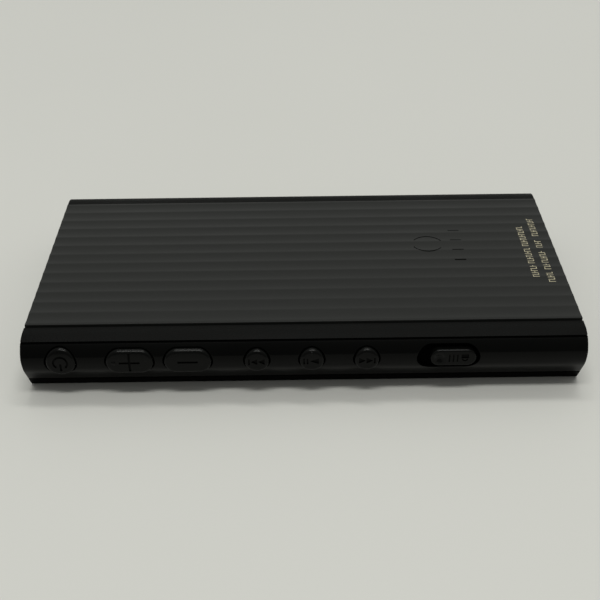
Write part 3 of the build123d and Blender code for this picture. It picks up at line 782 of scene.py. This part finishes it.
def rail_section(x):
    """Points round a rail of the rear cover at x: distance from the middle and height."""
    end = ease(HALF_LENGTH - abs(x), END_EASE)
    low, top = SEAM_TOP + SEAM_GAP, BAND_Z - end
    section = [(PANEL_SEAT_Y, low), (PANEL_SEAT_Y, BAND_Z - COVER_INNER_EASE - end)]
    for angle in FINE_TURNS[1:]:
        turn = math.radians(angle)
        section.append((PANEL_SEAT_Y + COVER_INNER_EASE * (1 - math.cos(turn)),
                        top - COVER_INNER_EASE * (1 - math.sin(turn))))
    section += [(PANEL_SEAT_Y + (CROWN_Y - PANEL_SEAT_Y) * t, top) for t in (0.3, 0.6, 1.0)]
    radius = CROWN_R - end
    foot = math.acos((low + SEAM_EASE - CROWN_Z) / radius)
    section += [(CROWN_Y + radius * math.sin(foot * i / 12), CROWN_Z + radius * math.cos(foot * i / 12))
                for i in range(1, 13)]
    for angle in (30, 60, 90):
        z = low + SEAM_EASE * (1 - math.sin(math.radians(angle)))
        section.append((half_width(z, end + ease(z - low, SEAM_EASE)), z))
    return section


def make_cover():
    """Rear cover: a rail along each long side, and the floor that the panel lies on."""
    build = Builder()
    xs = eased_steps(-HALF_LENGTH, HALF_LENGTH, 4.0 * MM, END_EASE)
    for side in (-1, 1):
        loops = [[Vector((x, side * y, z)) for y, z in rail_section(x)] for x in xs]
        build.rings(loops)
        build.lid(loops[0])
        build.lid(loops[-1])
    floor_y, corner = PANEL_SEAT_Y - 0.001 * MM, 0.5 * MM
    floor = [plan_loop(COVER_FLOOR_X, floor_y, z, corner) for z in (COVER_LOW.z, COVER_FLOOR_TOP)]
    build.rings(floor)
    build.lid(floor[0])
    build.lid(floor[1])
    place(build.finish("rear_cover_shell", MATERIALS["cover_black"]), "case", "cover_black", "rear_cover")


# ============================== printed and pressed marks on the panel ==============================

# Printed rows: x of the middle, then y start and length in mm of each group of strokes.
PRINT_ROWS = (
    (43.65 * MM, ((-8.6, 4.2), (-3.6, 5.6), (2.9, 7.9))),
    (46.3 * MM, ((-10.3, 3.4), (-5.9, 1.8), (-3.4, 4.0), (2.2, 2.8), (6.8, 7.0))),
)
PRINT_HALF = 0.62 * MM              # half height of a printed row
STROKE = 0.17 * MM
STROKE_PITCH = 0.72 * MM
PRINT_THICKNESS = 0.006 * MM
MARK_SINK = 0.02 * MM               # how far the marks reach into the panel
EMBLEM_MIDDLE = (24.6 * MM, 4.2 * MM)
EMBLEM_RADIUS = 2.9 * MM
EMBLEM_ARCS = ((20, 150), (200, 330))
EMBLEM_BAR_X = (29.2 * MM, 31.4 * MM)
EMBLEM_BAR_Y = (9.4 * MM, 5.6 * MM, 1.8 * MM, -2.0 * MM)
EMBLEM_THICKNESS = 0.008 * MM


def panel_patch(build, x0, x1, y0, y1, lift, step=0.12 * MM):
    """Thin pad that follows the waves of the panel."""
    count = max(2, math.ceil((y1 - y0) / step))
    vs = [y0 + (y1 - y0) * i / count for i in range(count + 1)]
    build.slab([x0, x1], vs, lambda x, y: Vector((x, y, panel_height(y) + lift)),
               lambda x, y: Vector((x, y, panel_height(y) - MARK_SINK)))


def make_print():
    """Two rows of plain strokes near the port end, in pale print; they spell nothing."""
    build = Builder()
    for x, groups in PRINT_ROWS:
        for start, length in groups:
            for i in range(round(length * MM / STROKE_PITCH)):
                y = start * MM + i * STROKE_PITCH
                panel_patch(build, x - PRINT_HALF, x + PRINT_HALF, y, y + STROKE, PRINT_THICKNESS)
                offset = (-1, 1, 0)[i % 3] * (PRINT_HALF - STROKE / 2)
                panel_patch(build, x + offset - STROKE / 2, x + offset + STROKE / 2, y + STROKE,
                            y + STROKE_PITCH - STROKE, PRINT_THICKNESS)
    place(build.finish("printed_dashes", MATERIALS["print_gold"]), "case", "gold_metal")


def panel_stroke(build, start, end, width):
    """Thin straight stroke that lies on the waves of the panel."""
    (x0, y0), (x1, y1) = start, end
    length = math.hypot(x1 - x0, y1 - y0)
    side = ((y0 - y1) / length * width / 2, (x1 - x0) / length * width / 2)
    steps = max(2, math.ceil(length / (0.15 * MM)))

    def lifted(height):
        def lift(u, v):
            x, y = x0 + (x1 - x0) * u + side[0] * v, y0 + (y1 - y0) * u + side[1] * v
            return Vector((x, y, panel_height(y) + height))
        return lift

    us = [i / steps for i in range(steps + 1)]
    build.slab(us, [-1, 1], lifted(EMBLEM_THICKNESS), lifted(-MARK_SINK))


def make_emblem():
    """Abstract gloss strokes on the panel: an open ring and four short bars."""
    build = Builder()
    x, y = EMBLEM_MIDDLE
    for first, last in EMBLEM_ARCS:
        angles = [math.radians(a) for a in range(first, last + 1, 10)]
        ring = [(x + EMBLEM_RADIUS * math.cos(a), y + EMBLEM_RADIUS * math.sin(a)) for a in angles]
        for start, end in zip(ring, ring[1:]):
            panel_stroke(build, start, end, 0.3 * MM)
    for bar_y in EMBLEM_BAR_Y:
        panel_stroke(build, (EMBLEM_BAR_X[0], bar_y), (EMBLEM_BAR_X[1], bar_y), 0.4 * MM)
    place(build.finish("panel_emblem", MATERIALS["gloss_mark"]), "case", "panel_black")


# ============================== keys ==============================================================

def key_marks(name):
    """Outlines engraved in a key, from its middle; +Z is up."""
    if name == "power":
        return [arc_band(0, 0, 1.2 * MM, 0.36 * MM, -50, 230), bar(0, -0.95 * MM, 0.36 * MM, 1.5 * MM)]
    if name == "volume_up":
        a, b = 0.2 * MM, 1.8 * MM
        return [[(-b, -a), (-a, -a), (-a, -b), (a, -b), (a, -a), (b, -a),
                 (b, a), (a, a), (a, b), (-a, b), (-a, a), (-b, a)]]
    if name == "volume_down":
        return [bar(0, 0, 3.5 * MM, 0.4 * MM)]
    wide, high, thin = 1.15 * MM, 1.2 * MM, 0.28 * MM
    if name == "next":
        return [bar(-1.35 * MM, 0, thin, high), arrow(-0.5 * MM, 0, wide, high, -1),
                arrow(0.78 * MM, 0, wide, high, -1)]
    if name == "play":
        return [bar(-1.35 * MM, 0, thin, high), bar(-0.75 * MM, 0, thin, high),
                arrow(0.45 * MM, 0, 1.5 * MM, high, -1)]
    return [arrow(-0.78 * MM, 0, wide, high, 1), arrow(0.5 * MM, 0, wide, high, 1),
            bar(1.35 * MM, 0, thin, high)]


# Raised dots that are found by touch: distance from the key's middle along X and Z, and radius.
DOTS = {"volume_up": (-2.75 * MM, 0.0, 0.4 * MM), "play": (0.0, 1.55 * MM, 0.3 * MM)}
# Wings of the keys, behind the frame wall.
WING_Y = (-26.55 * MM, -26.0 * MM)
WING_Z = (6.8 * MM, 9.0 * MM)
WING_OVERLAP = 0.5 * MM             # part of a wing that is sunk in its key


def build_dot(build, lift, u, v, radius):
    """Low dome standing on a cap."""
    def ring(reach, depth):
        angles = np.linspace(0, 2 * math.pi, 20, endpoint=False)
        return [lift(u + reach * math.cos(t), v + reach * math.sin(t), depth) for t in angles]

    turns = [math.radians(a) for a in (0, 30, 60, 80)]
    loops = [ring(radius * math.cos(turn), -0.5 * radius * math.sin(turn)) for turn in turns]
    sunk = ring(radius, 0.05 * MM)
    build.rings([sunk] + loops)
    build.lid(sunk)
    build.lid(loops[-1])


def build_box(build, x, y, z):
    """Plain block behind a wall, between low and high x, y and z."""
    plan = ((x[0], y[0]), (x[1], y[0]), (x[1], y[1]), (x[0], y[1]))
    corners = [[Vector((a, b, c)) for a, b in plan] for c in z]
    build.rings(corners)
    build.lid(corners[0])
    build.lid(corners[1])


def make_key(name):
    """Cap of a key with its engraved symbol, its touch dot and the wings that keep it in."""
    low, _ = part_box(f"{name}_button")
    x, width, height = key_pill(name)
    proud = -low.y - HALF_WIDTH

    def lift(u, v, depth=0.0):
        return Vector((u, depth - cap_reach(v, proud), v))

    build = Builder()
    marks = [[(x + u, KEY_Z + v) for u, v in mark] for mark in key_marks(name)]
    build_cap(build, lambda grow: pill_loop(x, KEY_Z, width, height, grow), lift,
              lambda u, v: Vector((u, -KEY_BACK, v)), CAP_ROLL, NET_STEP, marks, MARK_DEPTH)
    if name in DOTS:
        u, v, radius = DOTS[name]
        build_dot(build, lift, x + u, KEY_Z + v, radius)
    for side in (-1, 1):
        reach = sorted((x + side * (width / 2 - WING_OVERLAP), x + side * (width / 2 + KEY_WINGS)))
        build_box(build, reach, WING_Y, WING_Z)
    # The engraved symbol's darker finish is painted shade.
    place(build.finish(f"{name}_cap", MATERIALS["key_black"], MATERIALS["engraving"]), f"{name}_key",
          "key_black", f"{name}_button")


HOLD_KNOB = (25.9 * MM, KEY_Z, 8.0 * MM, 3.2 * MM)  # middle x and z, width and height
HOLD_KNOB_PROUD = 0.1 * MM
HOLD_KNOB_ROLL = 0.25 * MM
HOLD_KNOB_BACK = HOLD_FLOOR + 0.2 * MM
HOLD_STEM = (1.2 * MM, 0.6 * MM)    # half width and half height
HOLD_FOOT = (2.6 * MM, 1.4 * MM)    # the same, of the plate behind the recess
HOLD_FOOT_Y = (-25.5 * MM, -24.9 * MM)
HOLD_MARK_DEPTH = 0.15 * MM
LOCK_OFFSET = 2.0 * MM              # from the knob's middle to its padlock mark
RIB_OFFSETS = (-0.7 * MM, 0.0, 0.7 * MM)


def make_hold_knob():
    """Knob of the hold slider, with a thumb dimple, three ribs and a padlock mark."""
    x = HOLD_KNOB[0]
    dimple_x, dimple_r, dimple_depth = x - 2.4 * MM, 1.2 * MM, 0.45 * MM

    def lift(u, v, sink=0.0):
        away = math.hypot(u - dimple_x, v - KEY_Z) / dimple_r
        hollow = dimple_depth * (1 - away ** 2) ** 2 if away < 1 else 0.0
        return Vector((u, sink + hollow - cap_reach(v, HOLD_KNOB_PROUD), v))

    lock_x = x + LOCK_OFFSET
    marks = [bar(lock_x, KEY_Z + 0.4 * MM, 1.3 * MM, 0.8 * MM),
             arc_band(lock_x, KEY_Z - 0.12 * MM, 0.42 * MM, 0.24 * MM, 180, 360, 16)]
    marks += [bar(x + rib, KEY_Z, 0.24 * MM, 1.5 * MM) for rib in RIB_OFFSETS]
    build = Builder()
    build_cap(build, lambda grow: pill_loop(*HOLD_KNOB, grow), lift,
              lambda u, v: Vector((u, -HOLD_KNOB_BACK, v)), HOLD_KNOB_ROLL, NET_STEP, marks, HOLD_MARK_DEPTH)
    stem_y = (-HOLD_KNOB_BACK, HOLD_FOOT_Y[0])
    for (half_x, half_z), depths in ((HOLD_STEM, stem_y), (HOLD_FOOT, HOLD_FOOT_Y)):
        build_box(build, (x - half_x, x + half_x), depths, (KEY_Z - half_z, KEY_Z + half_z))
    # The darker finish of the padlock mark and the ribs is painted shade.
    place(build.finish("hold_knob_cap", MATERIALS["key_black"], MATERIALS["engraving"]), "hold_slider",
          "key_black", "hold_knob")


# ============================== port end ============================================================

CARD_DOOR_ROLL = 0.12 * MM
NAIL_GROOVE = (6.0 * MM, 0.7 * MM)  # width and height
NAIL_GROOVE_DROP = 0.45 * MM
NAIL_GROOVE_DEPTH = 0.6 * MM


def make_card_door():
    """Door of the memory card tray, with a nail groove."""
    low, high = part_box("card_door")
    y, z = (low.y + high.y) / 2, (low.z + high.z) / 2

    def lift(u, v, depth=0.0):
        return Vector((high.x - depth, u, v))

    build = Builder()
    groove = pill_loop(y, z - NAIL_GROOVE_DROP, *NAIL_GROOVE)
    build_cap(build, lambda grow: pill_loop(y, z, high.y - low.y, high.z - low.z, grow), lift,
              lambda u, v: Vector((low.x, u, v)), CARD_DOOR_ROLL, 0.3 * MM, [groove], NAIL_GROOVE_DEPTH)
    # The nail groove takes the near-black recess finish: painted shade in the groove.
    place(build.finish("card_door_cap", MATERIALS["key_black"], MATERIALS["recess"]), "card_drawer",
          "key_black", "card_door")


# Sleeves: CAD node, then middle y and z, width and height, wall and rounding of the lip.
SLEEVES = {
    "jack_trim_ring": ("jack_ring", JACK_Y, PORT_Z, 6.2 * MM, 6.2 * MM, 0.5 * MM, 0.14 * MM),
    "usb_port_shell": ("usb_shell", 0.0, PORT_Z, 8.94 * MM, 3.26 * MM, 0.3 * MM, 0.1 * MM),
}


def make_sleeve(name, node, slot, y, z, width, height, wall, lip):
    """Open sleeve along X with a rounded front lip: the port shells and rings."""
    low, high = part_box(node)
    stations = [(low.x, 0.0), (high.x - lip, 0.0)]
    for angle in (30, 60, 90):
        turn = math.radians(angle)
        stations.append((high.x - lip * (1 - math.sin(turn)), -lip * (1 - math.cos(turn))))
    for angle in (0, 30, 60, 90):
        turn = math.radians(angle)
        stations.append((high.x - lip * (1 - math.cos(turn)), -wall + lip * (1 - math.sin(turn))))
    stations.append((low.x, -wall))
    loops = [[Vector((x, u, v)) for u, v in pill_loop(y, z, width, height, grow)] for x, grow in stations]
    build = Builder()
    build.rings(loops + [loops[0]])
    place(build.finish(name, MATERIALS[slot]), "case", slot, node)


def make_ports():
    """Everything that shows at the port end."""
    for name, (node, *sizes) in SLEEVES.items():
        make_sleeve(name, node, "bright_metal", *sizes)
    make_card_door()


# ============================== room ================================================================

# Metres, watts and linear colours.
FLOOR_HALF = 12.0
STRIP_SIZE = (0.9, 0.2)
STRIP_COLOUR = (0.99, 1.0, 0.96)
# Overhead strips: place and power.
STRIPS = {
    "rear_strip": ((0.1, 0.4, 1.5), 5.6),
    "front_strip": ((0.0, -0.43, 1.5), 9.6),
}
TENT_COLOUR = (0.98, 1.0, 0.955, 1)
TENT_FRONT, TENT_REAR = 0.2, 0.62   # strength of the tent in front of the player and behind it

# Camera: the point it looks at, its distance, then its angles in radians.
CAMERA_AIM = (-0.553 * MM, 0.0, 1.687 * MM)
CAMERA_DISTANCE = 216.84 * MM
CAMERA_TILT = 0.5756
CAMERA_TURN = 0.003
CAMERA_ROLL = -0.0115
CAMERA_LENS = 65.67
CAMERA_SENSOR = 36.0


def make_floor():
    """Pale seamless sheet under the player."""
    bm = bmesh.new()
    bmesh.ops.create_grid(bm, x_segments=8, y_segments=8, size=FLOOR_HALF)
    mesh = bpy.data.meshes.new("floor_sheet")
    bm.to_mesh(mesh)
    bm.free()
    mesh.materials.append(surface("floor_finish", (0.60, 0.595, 0.57), (0.63, 0.625, 0.60), (0.55, 0.7),
                                  900, 1e-5, specular=0.2, cloud=3.0))
    floor = bpy.data.objects.new("floor_sheet", mesh)
    floor.location.z = CAD_BOX[0].z
    bpy.context.scene.collection.objects.link(floor)


def add_strip(name, location, power):
    """Overhead strip light aimed at the player."""
    light = bpy.data.lights.new(name, "AREA")
    light.shape = "RECTANGLE"
    light.size, light.size_y = STRIP_SIZE
    light.energy = power
    light.color = STRIP_COLOUR
    lamp = bpy.data.objects.new(name, light)
    lamp.location = location
    aim = -Vector(location)
    lamp.rotation_mode = "QUATERNION"
    lamp.rotation_quaternion = aim.to_track_quat("-Z", "Y")
    bpy.context.scene.collection.objects.link(lamp)


def make_light():
    """Two overhead strips in a pale tent that is darker in front of the player than behind it."""
    for name, (location, power) in STRIPS.items():
        add_strip(name, location, power)
    world = bpy.data.worlds.new("studio_tent")
    world.use_nodes = True
    tree = world.node_tree
    coords = tree.nodes.new("ShaderNodeTexCoord")
    split = tree.nodes.new("ShaderNodeSeparateXYZ")
    tree.links.new(coords.outputs["Generated"], split.inputs["Vector"])
    level = spread(tree, split.outputs["Y"], TENT_FRONT, TENT_REAR, -1.0, 1.0)
    background = tree.nodes["Background"]
    background.inputs["Color"].default_value = TENT_COLOUR
    tree.links.new(level, background.inputs["Strength"])
    bpy.context.scene.world = world
    bpy.context.scene.view_settings.view_transform = "Standard"


def make_camera():
    """Low camera in front of the keys."""
    level = math.cos(CAMERA_TILT)
    forward = Vector((math.sin(CAMERA_TURN) * level, math.cos(CAMERA_TURN) * level, -math.sin(CAMERA_TILT)))
    data = bpy.data.cameras.new("camera")
    data.lens = CAMERA_LENS
    data.sensor_width = CAMERA_SENSOR
    data.clip_start, data.clip_end = 0.01, 20.0
    camera = bpy.data.objects.new("camera", data)
    camera.rotation_mode = "QUATERNION"
    roll = Matrix.Rotation(CAMERA_ROLL, 3, "Z").to_quaternion()
    camera.rotation_quaternion = forward.to_track_quat("-Z", "Y") @ roll
    camera.location = Vector(CAMERA_AIM) - forward * CAMERA_DISTANCE
    bpy.context.scene.collection.objects.link(camera)
    bpy.context.scene.camera = camera


# ============================== whole ===============================================================

dress_frame()
make_frame()
make_bezel()
make_glass()
make_panel()
make_cover()
make_print()
make_emblem()
for key in KEYS:
    make_key(key)
make_hold_knob()
make_ports()
make_floor()
make_light()
make_camera()
